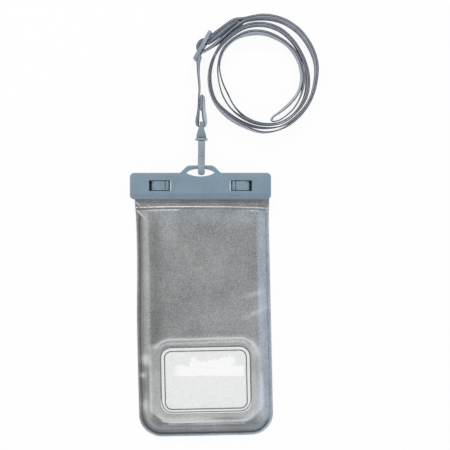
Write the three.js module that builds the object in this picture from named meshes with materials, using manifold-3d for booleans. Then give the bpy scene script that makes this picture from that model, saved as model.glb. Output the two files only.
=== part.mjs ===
// Waterproof phone pouch lying on its back, with its neck strap laid out beyond it.
// Millimetres, +Z up. The clamp bar lies along X and the film body runs from it towards -Y.
import * as THREE from "three";
import { mergeVertices } from "three/addons/utils/BufferGeometryUtils.js";
import Module from "manifold-3d";

const wasm = await Module();
wasm.setup();

// Running and seating clearances
const GAP = 0.3;
const SLIDING_GAP = 0.35;

// Clamp bar: two flat halves with the films gripped between them
const BAR_LENGTH = 115;
const BAR_HEIGHT = 21.65;
const BAR_THICKNESS = 9.6;
const BAR_CORNER = 3.6;
const BAR_EDGE = 1.1;
const LIP_HEIGHT = 3.9;
const LIP_DROP = 2.1;

// Eyelet hoop that stands out of the front half, and the lens-shaped hole below it
const HOOP_RISE = 6;
const HOOP_STRAND = 2.6;
const HOOP_THICKNESS = 3.2;
const HOOP_SHOULDER = 19.5;
const HOOP_FLAT = 8.5;
const EYELET_WIDTH = 23.4;
const EYELET_DIP = 3.05;

// Latches and the windows that they show in
const WINDOW_LENGTH = 16.8;
const WINDOW_HEIGHT = 8.6;
const WINDOW_SPACING = 67;
const WINDOW_UP = 11.15;
const WINDOW_BEVEL = 1.4;
const FACE_WALL = 2.2;
const LATCH_TRAVEL = 1.5;
const LATCH_SHOW = 14;
const LATCH_SIDE_GAP = 0.5;
const LATCH_INNER_GAP = 0.8;
const LATCH_RIDGE = 2.4;
const LATCH_GROOVE = 0.5;
const FLANGE_THICKNESS = 1.7;
const FLANGE_BRIM = 1.1;
const LEG_THICKNESS = 2.4;
const LEG_WIDTH = 5;
const TOE_REACH = 1.2;
const TOE_THICKNESS = 1.2;

// Films, the seal between them and the formed tray of the front one
const FILM = 0.4;
const FILM_WIDTH = 108.6;
const FILM_LENGTH = 193.6;
const FILM_CORNER = 18;
const FILM_FLARE = 0.6;
const FLARE_REACH = 14;
const FILM_GRIP = 3.4;
const FILM_OFF_CENTRE = 1.2;
const FILM_LEAN = THREE.MathUtils.degToRad(1.25);
const WELD_RIM = 2.4;
const TRAY_SLOPE = 8.6;
const TRAY_TOP = 9.2;
const TRAY_START = 3.5;
const TRAY_RISE = 12;
const FLOOR_REACH = 26;
const SEAL_WIDTH = 1.8;
const SEAL_HEIGHT = 1;

// Clear window welded into the front film
const PANE_LENGTH = 73.4;
const PANE_HEIGHT = 54;
const PANE_CORNER = 8.9;
const PANE_BORDER = 3.3;
const PANE_BORDER_RISE = 0.6;
const PANE_DOWN = 146.9;

// Snap hook, seen on edge, with its centre in the round end that holds the hoop
const HOOK_OFF_CENTRE = 0.7;
const HOOK_ARM = 3.1;
const HOOK_INSIDE = 3.3;
const HOOK_HEEL = 4.9;
const HOOK_FILLET = 0.9;
const HOOK_WIDTH = 5.6;
const HOOK_EDGE = 0.7;
const HOOK_LENGTH = 21.7;
const NOSE_LENGTH = 8.3;
const COLLAR_THICKNESS = 1.9;
const COLLAR_RADIUS = 5;
const GATE_THICKNESS = 2.6;
const GATE_WIDTH = 4.8;
const STEM_RADIUS = 1.6;
const STEM_HEAD_RADIUS = 2.5;
const STEM_HEAD_THICKNESS = 2;

// Eye that swivels in the hook's collar and carries the strap
const EYE_HEIGHT = 12.9;
const EYE_FOOT = 3.1;
const EYE_FOOT_WIDTH = 7.7;
const EYE_BAR_WIDTH = 2.6;
const EYE_BAR_HEIGHT = 2.6;
const EYE_ARM = 1.7;
const EYE_CORNER = 1.2;

// Strap and the slider that it is laced through
const STRAP_WIDTH = 10;
const STRAP_THICKNESS = 1.1;
const STRAP_SIDE_GAP = 0.4;
const SLIDER_LENGTH = 26.6;
const SLIDER_THICKNESS = 3;
const SLIDER_RAIL = 1.7;
const SLIDER_END_BAR = 4;
const SLIDER_MIDDLE_BAR = 4;
const SLIDER_MIDDLE_UP = 11;
const SLIDER_CORNER = 1.6;
const SLIDER_TURN = THREE.MathUtils.degToRad(60.7);
const SLIDER_FOOT = [-5.2, 87.1];

// Coil of the doubled neck loop
const COIL_CENTRE = [50.7, 77];
const COIL_HALF_LENGTH = 48.4;
const COIL_HALF_WIDTH = 44.9;
const COIL_INNER = 31.5;

// Heights worked out from the values above
const MIDDLE = BAR_THICKNESS / 2;
const CHANNEL_HALF = 1.5 * GAP + FILM;
const CHANNEL_DEPTH = FILM_GRIP + (BAR_LENGTH / 2) * Math.sin(FILM_LEAN) + GAP;
const HOOK_DEPTH = HOOK_INSIDE + HOOK_ARM;
const EYE_HALF_INSIDE = STRAP_WIDTH / 2 + STRAP_SIDE_GAP;
const EYE_HALF_DEPTH = EYE_HALF_INSIDE + EYE_ARM;
const AXIS_HEIGHT = Math.max(EYE_HALF_DEPTH, HOOK_DEPTH) + 0.1;
const HOOP_TOP = BAR_HEIGHT + HOOP_RISE;

// Finishes

function finish(color, roughness, extra = {}) {
  return new THREE.MeshStandardMaterial({ color, roughness, metalness: 0, ...extra });
}

const barPlastic = finish("#7e92a0", 0.5);
const latchPlastic = finish("#7d919e", 0.38);
const hookPlastic = finish("#83949f", 0.42);
const webbing = finish("#7a8694", 0.85);
const glitterFilm = finish("#939697", 0.3, { transparent: true, opacity: 0.92 });
const clearFilm = finish("#e9e9e6", 0.12, { transparent: true, opacity: 0.35 });
const sealRubber = finish("#c9cdcf", 0.6);

// Solids

function solid(geometry) {
  const bare = geometry.index ? geometry.toNonIndexed() : geometry.clone();
  bare.deleteAttribute("normal");
  bare.deleteAttribute("uv");
  const merged = mergeVertices(bare, 1e-4);
  return new wasm.Manifold(
    new wasm.Mesh({
      numProp: 3,
      vertProperties: new Float32Array(merged.attributes.position.array),
      triVerts: new Uint32Array(merged.index.array),
    }),
  );
}

function geometryOf(body) {
  const { vertProperties, triVerts } = body.getMesh();
  const geometry = new THREE.BufferGeometry();
  geometry.setAttribute("position", new THREE.BufferAttribute(new Float32Array(vertProperties), 3));
  geometry.setIndex(new THREE.BufferAttribute(new Uint32Array(triVerts), 1));
  geometry.computeVertexNormals();
  return geometry;
}

function joined(...geometries) {
  return geometries.map(solid).reduce((all, next) => all.add(next));
}

function cut(body, ...geometries) {
  return geometries.map(solid).reduce((left, next) => left.subtract(next), body);
}

function named(name, geometry, material) {
  const mesh = new THREE.Mesh(geometry, material);
  mesh.name = name;
  return mesh;
}

function block(x0, x1, y0, y1, z0, z1) {
  const box = new THREE.BoxGeometry(x1 - x0, y1 - y0, z1 - z0);
  return box.translate((x0 + x1) / 2, (y0 + y1) / 2, (z0 + z1) / 2);
}

function shapeOf(points) {
  return new THREE.Shape(points.map(([x, y]) => new THREE.Vector2(x, y)));
}

function roundedRectangle(width, height, radius, Kind = THREE.Shape) {
  const outline = new Kind();
  const x = width / 2 - radius;
  const y = height / 2 - radius;
  outline.moveTo(-x, -y - radius);
  outline.lineTo(x, -y - radius);
  outline.absarc(x, -y, radius, -Math.PI / 2, 0);
  outline.absarc(x, y, radius, 0, Math.PI / 2);
  outline.absarc(-x, y, radius, Math.PI / 2, Math.PI);
  outline.absarc(-x, -y, radius, Math.PI, 1.5 * Math.PI);
  return outline;
}

// A flat outline given thickness from one height to another, with rounded rims where bevel is set.
function raised(outline, z0, z1, bevel = 0) {
  const geometry = new THREE.ExtrudeGeometry(outline, {
    depth: z1 - z0 - 2 * bevel,
    bevelEnabled: bevel > 0,
    bevelThickness: bevel,
    bevelSize: bevel,
    bevelOffset: -bevel,
    bevelSegments: 3,
    curveSegments: 8,
  });
  return geometry.translate(0, 0, z0 + bevel);
}

const X = new THREE.Vector3(1, 0, 0);
const Y = new THREE.Vector3(0, 1, 0);
const Z = new THREE.Vector3(0, 0, 1);
const OUTLINE_IN_YZ = new THREE.Matrix4().makeBasis(Y, Z, X);
const OUTLINE_IN_XZ = new THREE.Matrix4().makeBasis(X, Z, Y.clone().negate());

// An outline in Y and Z, drawn out along X.
function alongX(outline, x0, x1, bevel = 0) {
  return raised(outline, x0, x1, bevel).applyMatrix4(OUTLINE_IN_YZ);
}

// An outline in X and Z, drawn out along Y.
function alongY(outline, y0, y1, bevel = 0) {
  return raised(outline, -y1, -y0, bevel).applyMatrix4(OUTLINE_IN_XZ);
}

function roundPost(radius, y0, y1) {
  return new THREE.CylinderGeometry(radius, radius, y1 - y0, 20).translate(0, (y0 + y1) / 2, 0);
}

// Clamp bar

function barPlate(z0, z1) {
  const outline = roundedRectangle(BAR_LENGTH, BAR_HEIGHT, BAR_CORNER);
  return raised(outline, z0, z1, BAR_EDGE).translate(0, BAR_HEIGHT / 2, 0);
}

// The slope of the lip along the film's edge of the bar, on the face at one height.
function lipSlope(face, inward) {
  const far = BAR_LENGTH / 2 + 1;
  const over = face - inward;
  const slope = shapeOf([
    [-1, over],
    [LIP_HEIGHT, over],
    [LIP_HEIGHT, face],
    [0, face + inward * LIP_DROP],
    [-1, face + inward * LIP_DROP],
  ]);
  return alongX(slope, -far, far);
}

function eyeletHole(z0, z1) {
  const half = EYELET_WIDTH / 2;
  const rise = HOOP_RISE - HOOP_STRAND;
  const hole = new THREE.Shape();
  hole.moveTo(-half, 0);
  hole.bezierCurveTo(-half * 0.5, (-4 / 3) * EYELET_DIP, half * 0.5, (-4 / 3) * EYELET_DIP, half, 0);
  hole.bezierCurveTo(half * 0.64, (4 / 3) * rise, -half * 0.64, (4 / 3) * rise, -half, 0);
  return raised(hole, z0, z1).translate(0, BAR_HEIGHT, 0);
}

function hoop() {
  const foot = -2 * EYELET_DIP;
  const outline = new THREE.Shape();
  outline.moveTo(-HOOP_SHOULDER, foot);
  outline.lineTo(HOOP_SHOULDER, foot);
  outline.lineTo(HOOP_SHOULDER, -BAR_EDGE);
  outline.bezierCurveTo(
    HOOP_SHOULDER * 0.72, 0, HOOP_FLAT * 1.53, HOOP_RISE, HOOP_FLAT, HOOP_RISE,
  );
  outline.lineTo(-HOOP_FLAT, HOOP_RISE);
  outline.bezierCurveTo(
    -HOOP_FLAT * 1.53, HOOP_RISE, -HOOP_SHOULDER * 0.72, 0, -HOOP_SHOULDER, -BAR_EDGE,
  );
  const low = AXIS_HEIGHT - HOOP_THICKNESS / 2;
  return raised(outline, low, low + HOOP_THICKNESS, HOOP_STRAND / 4).translate(0, BAR_HEIGHT, 0);
}

const filmChannelEnd = FILM_WIDTH / 2 + FILM_FLARE + FILM_OFF_CENTRE + GAP;
const flangeTop = BAR_THICKNESS - FACE_WALL - GAP;
const flangeLow = MIDDLE + GAP / 2 + GAP;
const flangeHalf = WINDOW_HEIGHT / 2 + FLANGE_BRIM;
const windowEnd = WINDOW_LENGTH / 2;
const latchInner = windowEnd - LATCH_INNER_GAP;
const latchOuter = latchInner - LATCH_SHOW;
const flangeInner = windowEnd + FLANGE_BRIM + LATCH_TRAVEL;
const flangeOuter = latchOuter - FLANGE_BRIM;
const legOuter = latchInner - LATCH_RIDGE - LEG_THICKNESS;
const legInner = legOuter + LEG_THICKNESS;

// Places on a latch are counted from its window's centre, towards the middle of the bar.
function inwards(side, points) {
  return points.map(([x, z]) => [side * (WINDOW_SPACING / 2 - x), z]);
}

function across(side, a, b, y0, y1, z0, z1) {
  const ends = [side * (WINDOW_SPACING / 2 - a), side * (WINDOW_SPACING / 2 - b)];
  return block(Math.min(...ends), Math.max(...ends), WINDOW_UP + y0, WINDOW_UP + y1, z0, z1);
}

function windowCut(side) {
  const half = WINDOW_HEIGHT / 2;
  const low = BAR_THICKNESS - FACE_WALL;
  const opening = shapeOf(inwards(side, [
    [-windowEnd, low - 1],
    [windowEnd, low - 1],
    [windowEnd, low],
    [windowEnd + WINDOW_BEVEL, BAR_THICKNESS],
    [windowEnd + WINDOW_BEVEL, BAR_THICKNESS + 1],
    [-windowEnd, BAR_THICKNESS + 1],
  ]));
  return alongY(opening, WINDOW_UP - half, WINDOW_UP + half);
}

function flangePocket(side) {
  return across(
    side,
    flangeOuter - LATCH_TRAVEL - SLIDING_GAP,
    flangeInner + SLIDING_GAP,
    -flangeHalf - SLIDING_GAP,
    flangeHalf + SLIDING_GAP,
    0,
    flangeTop + GAP,
  );
}

function legSlot(side) {
  const outer = legOuter - LATCH_TRAVEL - SLIDING_GAP;
  const half = LEG_WIDTH / 2 + SLIDING_GAP;
  const shaft = across(side, outer, legInner + SLIDING_GAP, -half, half, -1, BAR_THICKNESS);
  const toeTop = GAP + TOE_THICKNESS + GAP;
  const room = across(side, outer, legInner + TOE_REACH + SLIDING_GAP, -half, half, -1, toeTop);
  return [shaft, room];
}

function sealGroove() {
  const half = filmChannelEnd - 2 * GAP;
  const low = MIDDLE + CHANNEL_HALF - GAP;
  const high = MIDDLE + CHANNEL_HALF + SEAL_HEIGHT + GAP;
  return block(-half, half, sealLow - GAP, sealLow + SEAL_WIDTH + GAP, low, high);
}

const sealLow = FILM_GRIP / 2;
const SIDES = [-1, 1];

function frontClampBar() {
  const far = BAR_LENGTH / 2 + 1;
  const split = MIDDLE + GAP / 2;
  const whole = joined(barPlate(0, BAR_THICKNESS), hoop());
  return cut(
    whole,
    block(-far, far, -1, HOOP_TOP + 1, -1, split),
    eyeletHole(0, BAR_THICKNESS + 1),
    lipSlope(BAR_THICKNESS, -1),
    block(-filmChannelEnd, filmChannelEnd, -1, CHANNEL_DEPTH, 0, MIDDLE + CHANNEL_HALF),
    sealGroove(),
    ...SIDES.map(windowCut),
    ...SIDES.map(flangePocket),
  );
}

function rearClampBar() {
  const far = BAR_LENGTH / 2 + 1;
  const split = MIDDLE - GAP / 2;
  return cut(
    joined(barPlate(0, BAR_THICKNESS)),
    block(-far, far, -1, BAR_HEIGHT + 1, split, BAR_THICKNESS + 1),
    eyeletHole(-1, BAR_THICKNESS),
    lipSlope(0, 1),
    block(-filmChannelEnd, filmChannelEnd, -1, CHANNEL_DEPTH, MIDDLE - CHANNEL_HALF, BAR_THICKNESS),
    ...SIDES.flatMap(legSlot),
  );
}

function sealStrip() {
  const half = filmChannelEnd - 3 * GAP;
  const low = MIDDLE + CHANNEL_HALF;
  return raised(
    roundedRectangle(2 * half, SEAL_WIDTH, SEAL_WIDTH / 2.5),
    low,
    low + SEAL_HEIGHT,
  ).translate(0, sealLow + SEAL_WIDTH / 2, 0);
}

// A thumb barrel that rises from the outer end, a thin groove and an upright ridge, on a flange that
// slides under the face, with a leg whose toe hooks under the rear half.
function latch(side) {
  const half = WINDOW_HEIGHT / 2 - LATCH_SIDE_GAP;
  const ridgeOuter = latchInner - LATCH_RIDGE;
  const barrelInner = ridgeOuter - LATCH_GROOVE;
  const top = BAR_THICKNESS - GAP;
  const barrel = new THREE.SplineCurve([
    new THREE.Vector2(latchOuter, flangeTop + 0.4),
    new THREE.Vector2(latchOuter + 1.2, top - 1.1),
    new THREE.Vector2(latchOuter + 4.2, top - 0.1),
    new THREE.Vector2(barrelInner - 3, top - 0.1),
    new THREE.Vector2(barrelInner, top - 0.6),
  ]).getPoints(12);
  const outline = inwards(side, [
    [latchOuter, flangeTop - FLANGE_THICKNESS / 2],
    ...barrel.map((p) => [p.x, p.y]),
    [barrelInner, top - 1.2],
    [ridgeOuter, top - 1.2],
    [ridgeOuter, top - 0.2],
    [ridgeOuter + 0.4, top + 0.1],
    [latchInner - 0.5, top + 0.1],
    [latchInner, top - 0.3],
    [latchInner, flangeTop - FLANGE_THICKNESS / 2],
  ]);
  const thumb = alongY(shapeOf(outline), WINDOW_UP - half, WINDOW_UP + half);
  const flange = across(
    side, flangeOuter, flangeInner, -flangeHalf, flangeHalf, flangeLow, flangeTop,
  );
  const leg = LEG_WIDTH / 2;
  const toeTop = GAP + TOE_THICKNESS;
  return joined(
    thumb,
    flange,
    across(side, legOuter, legInner, -leg, leg, GAP, flangeLow + 0.5),
    across(side, legInner - 0.5, legInner + TOE_REACH, -leg, leg, GAP, toeTop),
  );
}

// Films

// How far the rear film's upper face lies above the ground, at a distance down from the bar.
function weldHeight(down) {
  const clamped = MIDDLE - GAP / 2;
  const sunk = THREE.MathUtils.smoothstep(down, 1, FLOOR_REACH);
  return THREE.MathUtils.lerp(clamped, FILM, sunk);
}

// How far the front film's lower face lies above the ground, at a distance in from its edge too.
function trayHeight(down, inward) {
  const rim = weldHeight(down) + GAP;
  const formed = THREE.MathUtils.smoothstep(down, TRAY_START, TRAY_START + TRAY_RISE);
  const top = THREE.MathUtils.lerp(weldHeight(0) + GAP, TRAY_TOP - FILM, formed);
  return THREE.MathUtils.lerp(rim, top, THREE.MathUtils.smoothstep(inward, WELD_RIM, WELD_RIM + TRAY_SLOPE));
}

// Half of a film's edge, from the gripped end down the left side to the bottom. Each spot has the
// direction that leads inwards from it.
function leftEdge() {
  const half = FILM_WIDTH / 2;
  const shoulder = FILM_LENGTH - FILM_CORNER;
  const spots = [];
  for (let down = -FILM_GRIP; down < shoulder; down += down < FLOOR_REACH ? 2 : 15) {
    const flare = FILM_FLARE * (1 - THREE.MathUtils.smoothstep(down, 0, FLARE_REACH));
    spots.push({ x: -half - flare, down, inX: 1, inDown: 0 });
  }
  const arcSteps = 7;
  for (let i = 0; i <= arcSteps; i++) {
    const turn = (i / arcSteps) * (Math.PI / 2);
    const inX = Math.cos(turn);
    const inDown = -Math.sin(turn);
    spots.push({
      x: FILM_CORNER - half - FILM_CORNER * inX,
      down: shoulder - FILM_CORNER * inDown,
      inX,
      inDown,
    });
  }
  return spots;
}

// A closed sheet over the film's outline. It is made of rings at set distances in from the edge,
// which are open at the gripped end, and of strips across the middle.
function filmSheet(insets, heightAt) {
  const left = leftEdge();
  const right = left.map((s) => ({ ...s, x: -s.x, inX: -s.inX })).reverse();
  const edge = [...left, ...right];
  const count = edge.length;
  const positions = [];
  for (const rise of [FILM, 0]) {
    for (const inset of insets) {
      for (const s of edge) {
        const down = s.down + s.inDown * inset;
        positions.push(s.x + s.inX * inset, -down, heightAt(down, inset) + rise);
      }
    }
  }
  const lower = insets.length * count;
  const last = (insets.length - 1) * count;
  const index = [];
  const quad = (a, b, c, d) => index.push(a, b, c, a, c, d);
  const bothFaces = (a, b, c, d) => {
    quad(a, b, c, d);
    quad(lower + d, lower + c, lower + b, lower + a);
  };
  for (let ring = 0; ring < last; ring += count) {
    for (let j = 0; j < count - 1; j++) {
      bothFaces(ring + j, ring + j + 1, ring + count + j + 1, ring + count + j);
    }
  }
  for (let i = 0; i < left.length - 1; i++) {
    bothFaces(last + i, last + i + 1, last + count - 2 - i, last + count - 1 - i);
  }
  const rim = edge.map((_, j) => j);
  for (let ring = count; ring <= last; ring += count) rim.push(ring + count - 1);
  for (let ring = last; ring > 0; ring -= count) rim.push(ring);
  rim.forEach((a, i) => {
    const b = rim[(i + 1) % rim.length];
    quad(lower + a, lower + b, b, a);
  });
  const geometry = new THREE.BufferGeometry();
  geometry.setAttribute("position", new THREE.Float32BufferAttribute(positions, 3));
  geometry.setIndex(index);
  geometry.computeVertexNormals();
  return geometry;
}

function frontFilm() {
  const insets = [0, WELD_RIM];
  const slopeSteps = 6;
  for (let i = 1; i <= slopeSteps; i++) insets.push(WELD_RIM + (i / slopeSteps) * TRAY_SLOPE);
  const opening = roundedRectangle(
    PANE_LENGTH + 2 * GAP, PANE_HEIGHT + 2 * GAP, PANE_CORNER + GAP,
  );
  const tray = filmSheet(insets, trayHeight);
  return cut(solid(tray), raised(opening, 0, 2 * TRAY_TOP).translate(0, -PANE_DOWN, 0));
}

function windowPane() {
  const low = TRAY_TOP - FILM;
  const border = roundedRectangle(PANE_LENGTH, PANE_HEIGHT, PANE_CORNER);
  border.holes.push(
    roundedRectangle(
      PANE_LENGTH - 2 * PANE_BORDER,
      PANE_HEIGHT - 2 * PANE_BORDER,
      PANE_CORNER - PANE_BORDER,
      THREE.Path,
    ),
  );
  return joined(
    raised(roundedRectangle(PANE_LENGTH, PANE_HEIGHT, PANE_CORNER), low, TRAY_TOP),
    raised(border, low, TRAY_TOP + PANE_BORDER_RISE),
  );
}

// Snap hook, around an axis along Y through the centre of its round end

function hookBody() {
  const outline = new THREE.Shape();
  const heel = HOOK_HEEL - HOOK_DEPTH + HOOK_FILLET;
  const flat = HOOK_INSIDE - HOOK_FILLET;
  outline.moveTo(HOOK_LENGTH + COLLAR_THICKNESS / 2, -HOOK_INSIDE);
  outline.absarc(heel, -flat, HOOK_FILLET, 1.5 * Math.PI, Math.PI, true);
  outline.absarc(heel, flat, HOOK_FILLET, Math.PI, Math.PI / 2, true);
  outline.lineTo(NOSE_LENGTH, HOOK_INSIDE);
  outline.lineTo(NOSE_LENGTH, HOOK_INSIDE + HOOK_ARM);
  outline.lineTo(0, HOOK_INSIDE + HOOK_ARM);
  outline.absarc(0, 0, HOOK_DEPTH, Math.PI / 2, 1.5 * Math.PI, false);
  outline.lineTo(HOOK_LENGTH + COLLAR_THICKNESS / 2, -HOOK_DEPTH);
  const half = HOOK_WIDTH / 2;
  const collarTop = HOOK_LENGTH + COLLAR_THICKNESS;
  const body = joined(
    alongX(outline, -half, half, HOOK_EDGE),
    roundPost(COLLAR_RADIUS, HOOK_LENGTH, collarTop),
    block(-half, half, HOOK_LENGTH, collarTop, -HOOK_DEPTH, HOOK_DEPTH),
  );
  return cut(body, roundPost(STEM_RADIUS + GAP, HOOK_LENGTH - 1, collarTop + 1));
}

const gateRoot = GATE_THICKNESS / 2;
const gatePivotUp = HOOK_LENGTH - GAP - gateRoot;
const gatePivotOut = HOOK_DEPTH - gateRoot - GAP / 2;

// A leaf with a round root under the collar and a tip that meets the nose.
function hookGate() {
  const half = GATE_WIDTH / 2;
  const tip = NOSE_LENGTH + GAP - gatePivotUp;
  const leaf = shapeOf([
    [0, -gateRoot],
    [0, gateRoot],
    [tip, gateRoot],
    [tip, 0.3 * gateRoot],
    [tip + 1.2, -gateRoot],
  ]);
  const root = new THREE.CylinderGeometry(gateRoot, gateRoot, GATE_WIDTH, 16);
  return joined(root.rotateZ(Math.PI / 2), alongX(leaf, -half, half));
}

function swivelEye() {
  const foot = HOOK_LENGTH + COLLAR_THICKNESS + GAP;
  const top = foot + EYE_HEIGHT;
  const frame = shapeOf([
    [foot, -EYE_HALF_DEPTH + EYE_CORNER],
    [foot + EYE_CORNER, -EYE_HALF_DEPTH],
    [top - EYE_CORNER, -EYE_HALF_DEPTH],
    [top, -EYE_HALF_DEPTH + EYE_CORNER],
    [top, EYE_HALF_DEPTH - EYE_CORNER],
    [top - EYE_CORNER, EYE_HALF_DEPTH],
    [foot + EYE_CORNER, EYE_HALF_DEPTH],
    [foot, EYE_HALF_DEPTH - EYE_CORNER],
  ]);
  const half = EYE_FOOT_WIDTH / 2;
  const barHalf = EYE_BAR_WIDTH / 2;
  const taper = shapeOf([
    [-half, foot],
    [half, foot],
    [half, foot + 0.6 * EYE_FOOT],
    [barHalf, top - EYE_BAR_HEIGHT],
    [barHalf, top],
    [-barHalf, top],
    [-barHalf, top - EYE_BAR_HEIGHT],
    [-half, foot + 0.6 * EYE_FOOT],
  ]);
  const headTop = HOOK_LENGTH - GAP;
  const headLow = headTop - STEM_HEAD_THICKNESS;
  const holeTop = top - EYE_BAR_HEIGHT;
  const eye = cut(
    solid(alongX(frame, -half, half)),
    block(-half - 1, half + 1, foot + EYE_FOOT, holeTop, -EYE_HALF_INSIDE, EYE_HALF_INSIDE),
  );
  return eye
    .intersect(solid(raised(taper, -EYE_HALF_DEPTH, EYE_HALF_DEPTH)))
    .add(solid(roundPost(STEM_RADIUS, headLow, foot + 1)))
    .add(solid(roundPost(STEM_HEAD_RADIUS, headLow, headTop)));
}

// Slider: three bars between two rails, lying in X and Y with its length along X
function strapSlider() {
  const width = STRAP_WIDTH + 2 * STRAP_SIDE_GAP + 2 * SLIDER_RAIL;
  const half = SLIDER_THICKNESS / 2;
  const plate = raised(roundedRectangle(SLIDER_LENGTH, width, SLIDER_CORNER), -half, half, 0.5);
  const slotHalf = STRAP_WIDTH / 2 + STRAP_SIDE_GAP;
  const middleEnd = SLIDER_MIDDLE_UP + SLIDER_MIDDLE_BAR;
  return cut(
    joined(plate.translate(SLIDER_LENGTH / 2, 0, 0)),
    block(SLIDER_END_BAR, SLIDER_MIDDLE_UP, -slotHalf, slotHalf, -half - 1, half + 1),
    block(middleEnd, SLIDER_LENGTH - SLIDER_END_BAR, -slotHalf, slotHalf, -half - 1, half + 1),
  );
}

// Strap

// A place beside the slider, at a distance up it from its foot and out from its mid plane.
function bySlider(up, out, z = 0) {
  const [x, y] = SLIDER_FOOT;
  const cos = Math.cos(SLIDER_TURN);
  const sin = Math.sin(SLIDER_TURN);
  return [x + up * cos + out * sin, y + up * sin - out * cos, z];
}

// From the coil, laced over the slider's middle bar and under its foot, down to the swivel eye and
// back up to the fold that is sewn to it.
const THROUGH_ROUTE = [
  [27.8, 120.2, -1.4], [24.5, 118.8, -1.2], [16.5, 113.3, -0.6], [9.9, 107.7, -0.2],
  bySlider(22.4, 2.6), bySlider(20.5, 1.5), bySlider(19.2, 0), bySlider(17.6, -2.1),
  bySlider(15.4, -3.75), bySlider(13, -4.1), bySlider(10.6, -3.75), bySlider(8.4, -2),
  bySlider(6.9, 0), bySlider(4.9, 1.95), bySlider(1.7, 2.5), [-2.4, 77.7, -1.2],
  [-1.5, 67.1, -1.8], [-1.1, 61.4, -1.6], [-1.7, 58.1, -1.2], [-2.3, 51.4, -0.6],
  [-3.1, 44.5, 0], [-4.4, 40, 0], [-5.1, 36.3, 0], [-3.9, 33.7, 0], [-0.3, 32.5, 0],
  [3.2, 33.4, 0], [4.9, 36.4, 0], [4.3, 40.4, 0], [3.1, 45.4, 0], [2.5, 51.1, -0.3],
  [2.3, 56, -0.9], [0.9, 58.4, -1.1],
];

// From the coil, round the slider's middle bar and back, where its end is sewn down.
const SEWN_ROUTE = [
  [7.9, 98, -0.8], [4.7, 96, -0.3], bySlider(9.4, 2.4), bySlider(9.3, 0.5),
  bySlider(9.7, -1.3), bySlider(11.1, -2.5), bySlider(13, -2.6), bySlider(14.9, -2.5),
  bySlider(16.3, -1.3), bySlider(16.8, 0.5), bySlider(17.6, 2.4), [11.3, 106.1, -0.2],
  [18.4, 111.6, -0.7],
];

function strapAlong(route, steps) {
  const half = STRAP_WIDTH / 2;
  const thin = STRAP_THICKNESS / 2;
  const round = 0.4;
  const section = shapeOf([
    [-half, -thin + round], [-half + round, -thin], [half - round, -thin], [half, -thin + round],
    [half, thin - round], [half - round, thin], [-half + round, thin], [-half, thin - round],
  ]);
  const path = new THREE.CatmullRomCurve3(route.map((p) => new THREE.Vector3(...p)));
  return new THREE.ExtrudeGeometry(section, { steps, bevelEnabled: false, extrudePath: path });
}

function strapCoil() {
  const edge = 1.2;
  const r0 = COIL_INNER;
  const r1 = COIL_HALF_LENGTH;
  const profile = [
    [r0, edge], [r0 + edge, 0], [r1 - edge, 0], [r1, edge],
    [r1, STRAP_WIDTH - edge], [r1 - edge, STRAP_WIDTH], [r0 + edge, STRAP_WIDTH],
    [r0, STRAP_WIDTH - edge], [r0, edge],
  ].map(([r, z]) => new THREE.Vector2(r, z));
  return new THREE.LatheGeometry(profile, 56).rotateX(Math.PI / 2);
}

// Assembly

const pouch = new THREE.Group();
pouch.add(
  named("front_clamp_bar", geometryOf(frontClampBar()), barPlastic),
  named("rear_clamp_bar", geometryOf(rearClampBar()), barPlastic),
  named("seal_strip", sealStrip(), sealRubber),
  named("latch_left", geometryOf(latch(-1)), latchPlastic),
  named("latch_right", geometryOf(latch(1)), latchPlastic),
);

const films = new THREE.Group();
films.position.x = FILM_OFF_CENTRE;
films.rotation.z = FILM_LEAN;
const pane = named("window_pane", geometryOf(windowPane()), clearFilm);
pane.position.y = -PANE_DOWN;
films.add(
  named("rear_film", filmSheet([0], (down) => weldHeight(down) - FILM), clearFilm),
  named("front_film", geometryOf(frontFilm()), glitterFilm),
  pane,
);
pouch.add(films);

const lanyard = new THREE.Group();
const hoopSeat = HOOP_TOP - HOOP_STRAND - GAP;
lanyard.position.set(HOOK_OFF_CENTRE, hoopSeat + HOOK_DEPTH - HOOK_HEEL, AXIS_HEIGHT);
const gate = named("hook_gate", geometryOf(hookGate()), hookPlastic);
gate.position.set(0, gatePivotUp, gatePivotOut);
const slider = named("strap_slider", geometryOf(strapSlider()), hookPlastic);
slider.position.set(...bySlider(0, 0));
slider.rotation.set(Math.PI / 2, 0, SLIDER_TURN, "ZYX");
const coil = named("strap_coil", strapCoil(), webbing);
coil.position.set(...COIL_CENTRE, -AXIS_HEIGHT);
coil.scale.x = COIL_HALF_WIDTH / COIL_HALF_LENGTH;
lanyard.add(
  named("hook_body", geometryOf(hookBody()), hookPlastic),
  gate,
  named("swivel_eye", geometryOf(swivelEye()), hookPlastic),
  slider,
  named("strap_through", strapAlong(THROUGH_ROUTE, 78), webbing),
  named("strap_sewn_end", strapAlong(SEWN_ROUTE, 34), webbing),
  coil,
);

// The origin is on the ground under the middle of the pouch, apart from its strap.
const part = new THREE.Group();
part.add(pouch, lanyard);
pouch.updateMatrixWorld(true);
const room = new THREE.Box3().setFromObject(pouch, true);
const middle = room.getCenter(new THREE.Vector3());
part.position.set(-middle.x, -middle.y, -room.min.z);

export default part;
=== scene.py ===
import math

import bmesh
import bpy
import numpy as np
from mathutils import Matrix, Vector, noise


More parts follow.
